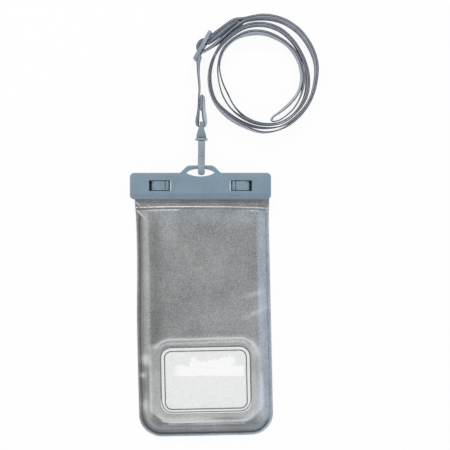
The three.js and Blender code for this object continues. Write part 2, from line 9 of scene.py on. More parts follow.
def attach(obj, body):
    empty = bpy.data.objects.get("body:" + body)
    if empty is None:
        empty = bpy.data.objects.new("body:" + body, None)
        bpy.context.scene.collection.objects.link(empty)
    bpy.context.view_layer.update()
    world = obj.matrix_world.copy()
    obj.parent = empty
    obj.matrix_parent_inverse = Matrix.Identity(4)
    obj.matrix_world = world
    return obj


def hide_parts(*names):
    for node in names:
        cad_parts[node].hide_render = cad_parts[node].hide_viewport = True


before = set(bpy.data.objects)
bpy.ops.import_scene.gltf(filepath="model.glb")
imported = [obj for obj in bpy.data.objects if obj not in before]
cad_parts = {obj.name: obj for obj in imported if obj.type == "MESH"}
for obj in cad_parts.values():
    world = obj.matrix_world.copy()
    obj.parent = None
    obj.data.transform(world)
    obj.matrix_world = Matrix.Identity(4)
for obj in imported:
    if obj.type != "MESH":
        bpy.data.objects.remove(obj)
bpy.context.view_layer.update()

# A waterproof phone pouch with its neck strap, lying on its back. Places and sizes are in mm.

MM = 0.001
bpy.ops.object.select_all(action="DESELECT")


# Camera

CAMERA_SPOT = (19.07, 62.47, 1026.5)
CAMERA_LENS = 100
CAMERA_SENSOR = 36


def place_camera():
    data = bpy.data.cameras.new("camera")
    data.lens = CAMERA_LENS
    data.sensor_width = CAMERA_SENSOR
    camera = bpy.data.objects.new("camera", data)
    camera.location = [v * MM for v in CAMERA_SPOT]
    bpy.context.collection.objects.link(camera)
    bpy.context.scene.camera = camera


place_camera()


# Shader maths

class Socket:
    """A socket of a finish's nodes, with the operators that shader maths is written in."""

    def __init__(self, finish, out):
        self.finish = finish
        self.out = out

    def maths(self, operation, *values):
        return self.finish.node("ShaderNodeMath", {"operation": operation}, list(values))

    def __add__(self, other):
        return self.maths("ADD", self, other)

    def __sub__(self, other):
        return self.maths("SUBTRACT", self, other)

    def __rsub__(self, other):
        return self.maths("SUBTRACT", other, self)

    def __mul__(self, other):
        return self.maths("MULTIPLY", self, other)

    __radd__ = __add__
    __rmul__ = __mul__

    def sine(self):
        return self.maths("SINE", self)

    def size(self):
        return self.maths("ABSOLUTE", self)

    def most(self, other):
        return self.maths("MAXIMUM", self, other)

    def between(self, low, high):
        """0 below low, 1 above high, smooth from one to the other."""
        return self.finish.node(
            "ShaderNodeMapRange", {"interpolation_type": "SMOOTHSTEP"},
            {"Value": self, "From Min": low, "From Max": high},
        )


class Finish:
    """A material, or the world, and its nodes."""

    def __init__(self, name, kept_in=bpy.data.materials):
        self.owner = kept_in.new(name)
        self.owner.use_nodes = True
        self.tree = self.owner.node_tree
        self.tree.nodes.clear()

    def node(self, kind, settings=None, sockets=None, out=0):
        """Adds a node: its settings first, then a value or a link for each socket that is named."""
        made = self.tree.nodes.new(kind)
        for name, value in (settings or {}).items():
            setattr(made, name, value)
        items = enumerate(sockets) if isinstance(sockets, list) else (sockets or {}).items()
        for name, value in items:
            if isinstance(value, Socket):
                self.tree.links.new(value.out, made.inputs[name])
            else:
                made.inputs[name].default_value = value
        return Socket(self, made.outputs[out] if made.outputs else None)

    def place(self):
        return self.node("ShaderNodeTexCoord", out="Object")

    def stretched(self, where, scale):
        return self.node("ShaderNodeMapping", sockets={"Vector": where, "Scale": scale})

    def axes(self, where):
        split = self.node("ShaderNodeSeparateXYZ", sockets=[where]).out.node
        return [Socket(self, out) for out in split.outputs]

    def axes_in_mm(self, where):
        return self.axes(self.stretched(where, (1 / MM, 1 / MM, 1 / MM)))

    def carried(self, name):
        """A value that the mesh carries at its vertices."""
        return self.node("ShaderNodeAttribute", {"attribute_name": name}, out="Fac")

    def grain(self, where, scale, detail=2, rough=0.5):
        return self.node(
            "ShaderNodeTexNoise",
            sockets={"Vector": where, "Scale": scale, "Detail": detail, "Roughness": rough},
        )

    def flakes(self, where, scale):
        """A level of its own for each of many small flakes."""
        colour = self.node("ShaderNodeTexVoronoi", sockets={"Vector": where, "Scale": scale}, out="Color")
        return self.node("ShaderNodeSeparateColor", sockets=[colour])

    def tone(self, amount, first, second):
        """A colour from the first to the second as the amount goes from 0 to 1."""
        return self.node("ShaderNodeMix", {"data_type": "RGBA"}, {0: amount, 6: first, 7: second}, out=2)

    def bump(self, height, strength, distance):
        return self.node(
            "ShaderNodeBump", sockets={"Height": height, "Strength": strength, "Distance": distance}
        )

    def surface(self, **sockets):
        names = {name.replace("_", " "): value for name, value in sockets.items()}
        shader = self.node("ShaderNodeBsdfPrincipled", sockets=names)
        self.node("ShaderNodeOutputMaterial", sockets={"Surface": shader})
        return self.owner


def rgb(red, green, blue):
    """A colour in the numbers that it has on a screen, as the linear ones that a shader takes."""
    return tuple(
        v / 12.92 if v <= 0.04045 else ((v + 0.055) / 1.055) ** 2.4
        for v in (red / 255, green / 255, blue / 255)
    ) + (1.0,)


# Helpers for meshes

def mesh_of(bm, name):
    mesh = bpy.data.meshes.new(name)
    bm.to_mesh(mesh)
    bm.free()
    return mesh


def piece_of(name, mesh, finish, body, slot, *nodes):
    obj = bpy.data.objects.new(name, mesh)
    bpy.context.collection.objects.link(obj)
    mesh.materials.clear()
    mesh.materials.append(finish)
    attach(obj, body)
    if nodes:
        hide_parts(*nodes)
    return obj


def smoothstep(value, low, high):
    t = min(1.0, max(0.0, (value - low) / (high - low)))
    return t * t * (3 - 2 * t)


def swell(value, middle, width):
    """1 at the middle, and softly down to 0 on both sides of it."""
    return math.exp(-(((value - middle) / width) ** 2))


# Neck strap: two strands of one webbing, each on edge, wound side by side

STRAP_WIDTH = 10.0
STRAP_THICKNESS = 1.1
STRAP_START = np.array([-0.21, 109.6, 7.2])
SLIDER_FOOT = (-5.2, 87.1)
SLIDER_TURN = math.radians(60.7)
COIL_CENTRE = (50.47, 186.6)
COIL_MIDDLE = 5.0


def on_strap(x, y, z, lean=0.0):
    return (STRAP_START[0] + x, STRAP_START[1] + y, STRAP_START[2] + z, lean)


def by_slider(up, out, lean=0.0):
    cos, sin = math.cos(SLIDER_TURN), math.sin(SLIDER_TURN)
    x, y = SLIDER_FOOT
    return on_strap(x + up * cos + out * sin, y + up * sin - out * cos, 0, lean)


def round_coil(start, step, radii, leans):
    """Points clockwise round the coil's centre, one for each step."""
    points = []
    for i, (radius, lean) in enumerate(zip(radii, leans)):
        a = math.radians(start - i * step)
        points.append((
            COIL_CENTRE[0] + radius * math.cos(a), COIL_CENTRE[1] + radius * math.sin(a),
            COIL_MIDDLE, lean,
        ))
    return points


def in_coil(angle, radius, lean):
    return round_coil(angle, 0, [radius], [lean])[0]


COIL_LEANS = (
    7, 12, 11, 10, 9, 6, 4, 3, 7.5, 5, -2, -8, -14, -6, -7, -6, -2,
    0, 3, 3.6, 2.5, 2, 2.5, 1, 6, 6, 2, 3.5, 2, -3, 2, 1, 1, 0, -1,
    -2, 6.5, 5, 2, 1, 4, 4.5, 8,
)
OUTER_RADII = (
    46.9, 46.4, 46.1, 45.3, 44.4, 44.3, 43.7, 44.6, 45.7, 47.7, 48.4, 46.2, 45.6, 46.3, 45.2, 43.7, 42.2,
    41.2, 41.3, 40.3, 38.5, 36.2, 34.9, 35.7, 37.4, 40.1, 42.1, 43.5, 42.4, 40.5, 39.3, 37.9, 37.0, 37.6,
    38.4, 37.2, 35.5, 33.5, 31.6, 31.0, 31.1, 31.8, 33.1,
)
INNER_RADII = (
    45.4, 45.1, 44.85, 44.05, 43.15, 43.05, 42.45, 43.3, 44.45, 45.6, 44.8, 43.9, 44.3, 45.0, 43.9, 42.4,
    40.95, 39.9, 40.05, 39.05, 37.2, 34.95, 33.65, 34.45, 36.1, 38.85, 40.85, 42.2, 41.15, 39.25, 36.1, 33.6,
    34.3, 36.35, 37.15, 35.95, 34.2, 32.25, 30.3, 29.75, 29.85, 30.5, 31.8,
)
BIGHT = in_coil(-80.3, 38.9, 4)
OUTER_END = [
    in_coil(-30, 35.5, 1), in_coil(-50, 38.0, 2), in_coil(-68, 40.1, 3), in_coil(-74, 40.5, 4),
    in_coil(-78.3, 40.35, 4), in_coil(-79.9, 39.7, 4), BIGHT,
]
INNER_END = [
    in_coil(-30, 32.5, 8), in_coil(-50, 32.9, 11), in_coil(-68, 34.6, 9), in_coil(-74, 35.6, 7),
    in_coil(-77.8, 36.7, 5), in_coil(-79.7, 37.9, 4), BIGHT,
]

OUTER_STRAND = [
    on_strap(0.3, 46, -0.2, 11), on_strap(0.3, 51, -0.4, 11), on_strap(0.3, 56, -0.6, 11),
    on_strap(0.45, 58, -0.7, 7), on_strap(0.9, 58.75, -0.7, 0), on_strap(1.35, 58, -0.7, -7),
    on_strap(1.5, 56, -0.7, -11), on_strap(1.5, 51.1, -0.3, -13), on_strap(1.8, 46.3, 0, -14),
    on_strap(2.45, 40.8, 0, -17), on_strap(3.0, 36.6, 0, -13),
    on_strap(2.5, 33.7, 0, -4), on_strap(-0.1, 32.5, 0, 2), on_strap(-2.8, 33.8, 0, 6),
    on_strap(-3.3, 36.5, 0, 11), on_strap(-3.0, 40.3, 0, 9), on_strap(-2.4, 45.2, 0, 5),
    on_strap(-2.1, 51.4, -0.6, 2.5), on_strap(-1.95, 58.1, -1.2, 1), on_strap(-1.6, 61.4, -1.6, 2),
    on_strap(-1.6, 67.1, -1.8, 4), on_strap(-2.4, 77.7, -1.2, 6.5),
    by_slider(1.7, 2.5, 12), by_slider(4.9, 1.95, 10), by_slider(6.9, 0, 2), by_slider(8.4, -2, 6),
    by_slider(10.6, -3.75, 4), by_slider(13, -4.1, 4), by_slider(15.4, -3.75, 4),
    by_slider(17.6, -2.1, 6), by_slider(19.2, 0, 2), by_slider(20.5, 1.5, 4), by_slider(22.4, 2.6, 8),
    on_strap(9.9, 107.7, -0.2, 7), on_strap(16.5, 113.3, -0.6, 4),
    on_strap(24.5, 118.8, -1.2, 6), on_strap(27.8, 120.2, -1.4, 7),
    *round_coil(110, 20, OUTER_RADII, COIL_LEANS), *OUTER_END,
]
INNER_STRAND = [
    (29.4, 228.9, 5.3, -4), (24.15, 225.15, 5.6, -15),
    on_strap(18.5, 111.15, -0.6, -19), on_strap(11.5, 105.8, -0.2, -14),
    by_slider(17.6, 2.4, -3), by_slider(16.8, 0.5), by_slider(16.3, -1.3, -3), by_slider(14.9, -2.5, -3),
    by_slider(13, -2.6, -3), by_slider(11.1, -2.5, -3), by_slider(9.7, -1.3, -3), by_slider(9.3, 0.5),
    by_slider(9.4, 2.4), on_strap(4.7, 96, -0.3), on_strap(7.9, 98, -0.8, 2),
    (13.5, 211.7, 6.2, 8), (17.05, 214.5, 6.0, 10), (20.0, 217.1, 5.8, 11), (24.1, 220.7, 5.5, 11),
    (28.6, 224.5, 5.3, 10), (32.1, 227.1, 5.1, 9),
    *round_coil(110, 20, INNER_RADII, COIL_LEANS), *INNER_END,
]

STRAP_STEP = 1.1
OUTER_ACROSS = 2 * STRAP_WIDTH


def smooth_path(points, before, after):
    """A smooth line through the points, read off at even steps. Each row is x, y, z and lean."""
    rows = np.array([before, *points, after], float)
    fine = []
    for back, start, end, on in zip(rows, rows[1:], rows[2:], rows[3:]):
        t1 = np.linalg.norm((start - back)[:3]) ** 0.5
        t2 = t1 + np.linalg.norm((end - start)[:3]) ** 0.5
        t3 = t2 + np.linalg.norm((on - end)[:3]) ** 0.5
        for t in np.linspace(t1, t2, 40, endpoint=False):
            first = back + (start - back) * t / t1
            second = start + (end - start) * (t - t1) / (t2 - t1)
            third = end + (on - end) * (t - t2) / (t3 - t2)
            early = first + (second - first) * t / t2
            late = second + (third - second) * (t - t1) / (t3 - t1)
            fine.append(early + (late - early) * (t - t1) / (t2 - t1))
    fine.append(rows[-2])
    fine = np.array(fine)
    along = np.concatenate([[0], np.cumsum(np.linalg.norm(np.diff(fine[:, :3], axis=0), axis=1))])
    at = np.linspace(0, along[-1], int(round(along[-1] / STRAP_STEP)) + 1)
    return np.stack([np.interp(at, along, fine[:, k]) for k in range(4)], axis=1), along[-1]


def across_and_out(along, lean):
    """The webbing's ways across its width and out of its inner face, where it runs along and leans so."""
    up = np.array([0, 0, 1.0]) - along * along[..., 2:3]
    up /= np.linalg.norm(up, axis=-1, keepdims=True)
    angle = np.radians(lean)[..., None]
    tall = up * np.cos(angle) - np.cross(along, up) * np.sin(angle)
    return tall, np.cross(along, tall)


def webbing_section():
    """Places round the webbing's section: across its width, and out of its middle."""
    half, thin, curl = STRAP_WIDTH / 2, STRAP_THICKNESS / 2, 0.38
    flat = [share * (half - curl) for share in (-1, -0.6, -0.2, 0.2, 0.6, 1)]
    top_edge = [(half - 0.1, 0.3), (half, 0), (half - 0.1, -0.3)]
    low_edge = [(-a, -b) for a, b in top_edge]
    return [(a, thin) for a in flat] + top_edge + [(-a, -thin) for a in flat] + low_edge


def webbing(name, points, before, after, finish, *nodes):
    """A strand of the strap. Its UV map holds mm along it, and mm across one face and on over the other."""
    path, length = smooth_path(points, before, after)
    middle = path[:, :3]
    along = np.gradient(middle, axis=0)
    along /= np.linalg.norm(along, axis=1, keepdims=True)
    tall, out = across_and_out(along, path[:, 3])
    section = webbing_section()
    across = [a if b >= 0 else OUTER_ACROSS - a for a, b in section]
    bm = bmesh.new()
    uv = bm.loops.layers.uv.new("webbing")
    rings = [
        [bm.verts.new((centre + t * a + o * b) * MM) for a, b in section]
        for centre, t, o in zip(middle, tall, out)
    ]
    step = length / (len(rings) - 1)
    for i, (near, far) in enumerate(zip(rings, rings[1:])):
        for j in range(len(section)):
            k = (j + 1) % len(section)
            face = bm.faces.new((near[j], far[j], far[k], near[k]))
            face.smooth = True
            for loop, row, spot in zip(face.loops, (i, i + 1, i + 1, i), (j, j, k, k)):
                loop[uv].uv = (row * step, across[spot])
    bm.faces.new(rings[0])
    bm.faces.new(reversed(rings[-1]))
    bmesh.ops.recalc_face_normals(bm, faces=bm.faces)
    obj = piece_of(name, mesh_of(bm, name), finish, "pouch", "webbing", *nodes)
    return path


PICK_LENGTH = 1.15
WARP_WIDTH = 0.9
SEWN_LENGTH = 32.0


def webbing_finish():
    """Woven tape with a groove inside each hem, and painted light and shade: a painted highlight along the
    hems, painted shade in the grooves, along the outer top edge and low on the inner face, and a sewn end
    painted lighter where it lies in shadow.
    """
    f = Finish("webbing")
    uv = f.node("ShaderNodeUVMap", {"uv_map": "webbing"})
    along, across, _ = f.axes(uv)
    pick = 2 * math.pi / PICK_LENGTH
    warp = 2 * math.pi / WARP_WIDTH
    rib = (across * warp + (along * (pick / 2)).sine() * 0.5).sine()
    weft = (along * pick + (across * (warp / 2)).sine() * 1.6).sine()
    weave = (rib + weft) * 0.25 + 0.5
    place = f.place()
    fuzz = f.grain(place, 2600, 3)
    patch = f.grain(place, 90, 2)
    half = STRAP_WIDTH / 2
    outer_face = across.between(OUTER_ACROSS - half + 0.2, OUTER_ACROSS - half + 0.6)
    outer_edge_shade = across.between(half - 0.15, half) * (1 - outer_face)
    sewn = 1 - along.between(SEWN_LENGTH, SEWN_LENGTH + 6)
    hem = (across - OUTER_ACROSS * across.between(STRAP_WIDTH - 0.1, STRAP_WIDTH + 0.1)).size()
    hem_highlight = hem.between(half - 0.7, half - 0.1)
    groove = hem.between(half - 1.5, half - 1) * (1 - hem.between(half - 0.8, half - 0.5))
    # Painted light and shade: the hems are painted lighter where their top edges catch the light, and the
    # grooves darker where shade falls in them.
    light = weave * 0.36 + fuzz * 0.25 + patch * 0.35 + hem_highlight * 0.08 - groove * 0.4
    # Painted shade: the inner face darkens towards its lower edge, where the turns of the coil shade it.
    light = light + (1 - outer_face) * across.between(-half - 1, 1) * 0.2
    # Painted shade along the outer top edge. The outer face is lighter.
    light = light - outer_edge_shade * 0.7 + outer_face * 0.18
    # Painted light: the sewn end is painted lighter, as it lies in shadow.
    light = light + sewn * (0.1 + outer_face * 0.12)
    colour = f.tone(light.between(0.05, 1.0), rgb(50, 59, 71), rgb(198, 204, 217))
    return f.surface(
        Base_Color=colour, Roughness=0.78 - 0.12 * weave, Sheen_Weight=0.25, Sheen_Roughness=0.5,
        Normal=f.bump(weave + fuzz * 0.5 - groove, 0.55, 0.00022),
    )


WEBBING = webbing_finish()
outer_path = webbing(
    "neck_strap_outer", OUTER_STRAND, on_strap(0.3, 41, 0), INNER_END[-2], WEBBING, "strap_through"
)
inner_path = webbing(
    "neck_strap_inner", INNER_STRAND, (32, 230.5, 5.1, 2), OUTER_END[-2], WEBBING,
    "strap_sewn_end", "strap_coil"
)


# Stitches

STITCH_SPACING = 1.9
STITCH_REACHES = ((-0.75, 0.1, 0.0), (-0.4, 0.22, 0.2), (0.4, 0.22, 0.2), (0.75, 0.1, 0.0))
STITCH_SUNK = 0.1


def frame_at(path, at):
    """The middle of the webbing at a distance from its start, with its ways along, across and out."""
    i = min(int(at / STRAP_STEP), len(path) - 2)
    along = path[i + 1, :3] - path[i, :3]
    middle = path[i, :3] + along * (at / STRAP_STEP - i)
    along = along / np.linalg.norm(along)
    return middle, along, *across_and_out(along, path[i, 3])


def add_stitch(bm, spot, along, tall, out):
    """One stitch: narrow and low at its ends, wider and proud of the webbing between them."""
    rings = []
    for reach, width, rise in STITCH_REACHES:
        section = ((-width, -STITCH_SUNK), (-width * 0.6, rise), (width * 0.6, rise), (width, -STITCH_SUNK))
        base = spot + along * reach
        rings.append([bm.verts.new((base + tall * a + out * b) * MM) for a, b in section])
    for near, far in zip(rings, rings[1:]):
        for j in range(4):
            k = (j + 1) % 4
            bm.faces.new((near[j], far[j], far[k], near[k])).smooth = True
    bm.faces.new(rings[0])
    bm.faces.new(reversed(rings[-1]))


def stitches(name, path, start, end, heights, finish):
    """Rows of stitches on both faces of the webbing, from start to end along it at these heights."""
    bm = bmesh.new()
    count = max(1, round(abs(end - start) / STITCH_SPACING))
    for height in heights:
        for i in range(count):
            middle, along, tall, out = frame_at(path, start + (end - start) * (i + 0.5) / count)
            for outwards in (-out, out):
                spot = middle + tall * height + outwards * (STRAP_THICKNESS / 2)
                add_stitch(bm, spot, along, tall, outwards)
    bmesh.ops.recalc_face_normals(bm, faces=bm.faces)
    piece_of(name, mesh_of(bm, name), finish, "pouch", "webbing")


def thread_finish():
    f = Finish("thread")
    twist = f.grain(f.stretched(f.place(), (1, 1, 0.4)), 3800, 2)
    return f.surface(
        Base_Color=f.tone(twist, rgb(150, 160, 172), rgb(206, 212, 222)), Roughness=0.6 + 0.15 * twist,
        Normal=f.bump(twist, 0.4, 0.0001),
    )


THREAD = thread_finish()
stitches("end_stitches", inner_path, 1.5, 24, (-3.2, 3.2, 0), THREAD)
stitches("loop_stitches", outer_path, 1.2, 11, (-3.2, 3.2, 0), THREAD)


# Films: a place on them is given across from their middle line and down from the clamp bar's lip

FILM_THICKNESS = 0.4
FILM_HALF = 54.3
FILM_FLARE = 0.6
FILM_LENGTH = 193.6
FILM_CORNER = 18.0
FILM_SHOULDER = FILM_LENGTH - FILM_CORNER
FILM_CORNER_STEPS = 22
FILM_GRIP = 3.4
FILM_TILT = math.radians(1.25)
FILM_TOP = (0.29, 83.35)
WELD_IN_BAR = 4.65
WELD_ON_TABLE = 0.4
PANE_HALF = (36.7, 27.0)
PANE_CORNER = 8.9
PANE_DOWN = 146.9
PANE_GAP = 0.3
PANE_BORDER = 3.3


def film_place(x, down, z):
    cos, sin = math.cos(FILM_TILT), math.sin(FILM_TILT)
    return Vector((FILM_TOP[0] + x * cos + down * sin, FILM_TOP[1] + x * sin - down * cos, z)) * MM


def from_round_box(x, y, half_x, half_y, corner):
    """The distance out of a box with round corners, below zero inside it."""
    a, b = abs(x) - half_x + corner, abs(y) - half_y + corner
    return math.hypot(max(a, 0), max(b, 0)) + min(max(a, b), 0) - corner


def from_pane(x, down):
    return from_round_box(x, down - PANE_DOWN, *PANE_HALF, PANE_CORNER)


def to_opening(x, down):
    """Moves a place near the edge of the front film's opening onto that edge."""
    away = from_pane(x, down) - PANE_GAP
    if abs(away) >= 0.7:
        return x, down
    tiny = 0.01
    way_x = from_pane(x + tiny, down) - PANE_GAP - away
    way_down = from_pane(x, down + tiny) - PANE_GAP - away
    long = math.hypot(way_x, way_down) or 1
    return x - away * way_x / long, down - away * way_down / long


def over_opening(spot):
    """Whether a place in the scene lies over the front film's opening."""
    x, y = spot.x / MM - FILM_TOP[0], spot.y / MM - FILM_TOP[1]
    cos, sin = math.cos(FILM_TILT), math.sin(FILM_TILT)
    return from_pane(x * cos + y * sin, x * sin - y * cos) - PANE_GAP < 0.02


def weld_height(down):
    """The height of the weld between the films: up in the clamp bar, and then down on the table."""
    return WELD_IN_BAR + (WELD_ON_TABLE - WELD_IN_BAR) * smoothstep(down, 1, 26)


def crease_down(x):
    """How far down the crease under the bar lies."""
    t = x / 50
    return 5.9 + 1.3 * t + 0.9 * t * t


def crease_relief(x, down, inset):
    """The crease under the bar: a step up, a dip behind it and, towards both sides, a second fold."""
    crease = crease_down(x)
    held = 1.4 - 0.4 * smoothstep(inset, 2, 10)
    left, right = 1 - smoothstep(x, -26, -4), smoothstep(x, 33, 42)
    step_up = 0.58 * smoothstep(down, crease - 0.85, crease + 0.75)
    dip = (0.2 + 0.4 * left) * smoothstep(down, crease + 0.7, crease + 1.65)
    fold = smoothstep(down, crease + 1.6, crease + 3.35) - smoothstep(down, crease + 4, crease + 10)
    return held * (step_up - dip + 0.6 * (left + right) * fold)


def corner_folds(x, down):
    """How near a place is to the upper and the lower short fold in the top left corner."""
    upper = swell(x + 53 - (down - 2), 0, 0.6) * swell(down, 2.4, 1.6)
    lower = swell(x + 52.7 - (down - 8) * 0.8, 0, 0.7) * swell(down, 10.7, 2.6)
    return upper, lower


def side_folds(x, down, spread):
    """How near a place is to the two slanting folds that start at the right edge."""
    upper = swell(down - 78 + (x - 40) * 0.2, 0, 1.8 + spread)
    lower = swell(down - 94 + (x - 40) * 0.42, 0, 2 + spread)
    return upper, lower


def patches(x, down, rows):
    """Soft patches: each row is a middle across and down, a half width, a half length and an amount."""
    return sum(
        much * swell(x, middle_x, wide) * swell(down, middle_down, long)
        for middle_x, middle_down, wide, long, much in rows
    )


def slackness(x, down, inset):
    """The soft waves of the film's middle."""
    slow = noise.noise(Vector((x * 0.045, down * 0.035, 0.3)))
    quick = noise.noise(Vector((x * 0.16, down * 0.12, 4.1)))
    upper, lower = side_folds(x, down, 0.2)
    waves = 0.55 * slow * smoothstep(down, 8, 22) + 0.14 * quick * smoothstep(down, 8, 16)
    waves += (0.4 * upper + 0.5 * lower) * swell(x, 41, 6) - 0.3 * swell(down, 2.4, 1.6)
    waves -= 0.5 * swell(x, -27, 8) * swell(down, 32, 12)
    return waves * smoothstep(inset, 4, 12)


def pane_relief(x, down):
    """The ridge round the window, with a hollow on its inner side."""
    away = from_pane(x, down)
    beside = smoothstep(abs(x), 36, 42) * (1 - smoothstep(abs(down - PANE_DOWN), 24, 30))
    ridge = 5.2 + 1.2 * smoothstep(down, 150, 172) + 0.4 * math.sin(x * 0.09)
    z = (1.05 - 0.6 * beside) * swell(away, ridge, 1.7)
    z -= 0.3 * swell(away, ridge - 3.6, 1.4) + 0.25 * swell(away, 0.4, 1.3)
    return z - 0.35 * (1 - smoothstep(away, 0, 12)) * smoothstep(down, 168, 176)


LEFT_BULGES = ((-44.5, 136, 2.2, 5, 0.35), (-46, 152, 2, 4, 0.35), (-43.5, 178, 2.4, 7, 0.4))


def front_height(x, down, inset):
    """The upper face of the front film."""
    rim = weld_height(down) + 0.3 + FILM_THICKNESS
    crease = crease_down(x)
    top = 5.35 + 0.5 * smoothstep(down, 0, 4.5) + 3.2 * smoothstep(down, crease + 0.5, crease + 17)
    z = rim + (top - rim) * smoothstep(inset, 2.4, 10.6)
    z += 0.2 * swell(inset, 1.3, 0.8) - 0.5 * swell(inset, 2.75, 0.3)
    upper, lower = corner_folds(x, down)
    z += 0.45 * upper + 0.5 * lower + patches(x, down, LEFT_BULGES)
    return z + crease_relief(x, down, inset) + slackness(x, down, inset) + pane_relief(x, down)


def rear_height(x, down, inset):
    """The upper face of the rear film."""
    return weld_height(down)


# Painted highlights and glints (amount above 0) and painted shade (amount below 0) on the glitter film, as
# soft patches.
PAINTED_LIGHT_PATCHES = (
    (-48.8, 129.6, 3.2, 4.4, 0.6), (-50.6, 142.8, 1.8, 2.2, 0.75), (-49.6, 168, 2.4, 5.5, 0.5),
    (-48.5, 137, 3.5, 2.0, -0.2), (-49.6, 152, 2.6, 4, -0.12), (-46.3, 152, 0.9, 17, -0.45),
    (40, 123, 3.6, 6, 0.3), (-40.5, 119.5, 4.0, 1.8, 0.35), (-27, 29.5, 8, 11, 0.13),
    (12, 88, 26, 12, 0.05), (15, 179.2, 17, 1.5, -0.45), (43, 170, 3.5, 11, 0.2),
)


def nearness(x, down):
    """1 beside the window and 0 further out."""
    reach = from_pane(x, down) + 2.5 * smoothstep(down, 170, 177)
    return 1 - smoothstep(reach, 6.5 + 2.5 * smoothstep(down, 130, 150), 11)


def pane_painted_light(x, down):
    """Painted light: paler beside the window, and a painted highlight along the ridge above and below it."""
    away = from_pane(x, down)
    above = (1 - smoothstep(down, 124, 132)) * smoothstep(x, -42, -34)
    pale = nearness(x, down) * (0.14 + 0.16 * smoothstep(down, 128, 150))
    pale += 0.42 * swell(away, 6.3, 0.8) * above
    return pale + 0.5 * swell(away, 6.4, 0.75) * smoothstep(down, 172, 178)


def side_painted_shading(x, down, inset):
    """Painted shade along the left edge and painted light along the right one."""
    dark = 0.3 * (1 - smoothstep(inset, 3.4, 6.2)) * smoothstep(inset, 0.4, 3.2)
    on_left = 0.1 * swell(inset, 8.2, 1.6) - dark - 0.03 - 0.1 * swell(x, -39, 5)
    on_right = 0.09 * (1 - smoothstep(inset, 6, 12)) + 0.1 * (1 - smoothstep(inset, 2.5, 4))
    pale = smoothstep(-x, 26, 40) * on_left * (1 - nearness(x, down)) + smoothstep(x, 26, 40) * on_right
    return pale * smoothstep(down, 7, 16)


def crease_painted_shading(x, down):
    """Painted shade above the crease under the bar and just below it, and painted glints on the folds."""
    crease = crease_down(x)
    left = 1 - smoothstep(x, -26, -4)
    pale = -0.13 * (1 - smoothstep(down, crease - 1.6, crease - 0.4))
    pale -= (0.12 + 0.35 * left) * swell(down, crease + 1.35, 0.5)
    upper, lower = corner_folds(x, down)
    return pale + 1.1 * upper + 1.2 * lower + 0.22 * swell(x, 41, 8) * sum(side_folds(x, down, 0))


def bottom_painted_shading(x, down, inset):
    """Painted shade along the bottom, with a painted highlight on the weld."""
    weld = 0.4 * (1 - smoothstep(inset, 1.1, 2.0)) - 0.3 * swell(inset, 2.7, 0.6)
    dark = 0.2 * smoothstep(down, 179.5, 184) * (1 - 0.5 * smoothstep(-x, 26, 40))
    return weld * smoothstep(down, 178, 186) - dark


def painted_shading(x, down, inset):
    """Painted light and shade on the glitter: how much paler (above 0) or darker it is painted than its
    middle tone.
    """
    pale = patches(x, down, PAINTED_LIGHT_PATCHES) + pane_painted_light(x, down) + crease_painted_shading(x, down)
    return pale + side_painted_shading(x, down, inset) + bottom_painted_shading(x, down, inset)


def painted_blue_reflection(x, down, inset):
    """A painted bluish reflection on the glitter along the right edge and the bottom, and bluer under the
    crease.
    """
    right = (1 - smoothstep(inset, 7, 13)) * smoothstep(x, 20, 40) * smoothstep(down, 6, 12)
    bottom = 0.7 * smoothstep(down, 179, 185)
    crease = 0.55 * swell(down, 13.5, 5) * smoothstep(x, -44, -24)
    return min(1.0, max(right, bottom, crease))


def bowed(x, down):
    """The film's left edge bows out a little above the window."""
    bow = smoothstep(down, 40, 105) * (1 - 0.2 * smoothstep(down, 125, 190))
    return x - 1.35 * bow * smoothstep(-x, 40, 53)


def film_edge(rows):
    """The film's left edge and corner: each row is a place and the way inwards from it."""
    edge = [(-FILM_HALF - FILM_FLARE * (1 - smoothstep(down, 0, 14)), down, 1.0, 0.0) for down in rows]
    for i in range(1, FILM_CORNER_STEPS + 1):
        a = i / FILM_CORNER_STEPS * math.pi / 2
        edge.append((
            FILM_CORNER - FILM_HALF - FILM_CORNER * math.cos(a),
            FILM_SHOULDER + FILM_CORNER * math.sin(a), math.cos(a), -math.sin(a),
        ))
    return edge


def face_up(bm):
    """Turns a sheet's faces upwards and smooths them."""
    bmesh.ops.recalc_face_normals(bm, faces=bm.faces)
    if sum(face.normal.z for face in bm.faces) < 0:
        bmesh.ops.reverse_faces(bm, faces=bm.faces)
    for face in bm.faces:
        face.smooth = True


def thicken(obj):
    """Gives a film its thickness, below its upper face."""
    solid = obj.modifiers.new("thickness", "SOLIDIFY")
    solid.thickness = FILM_THICKNESS * MM
    solid.offset = -1


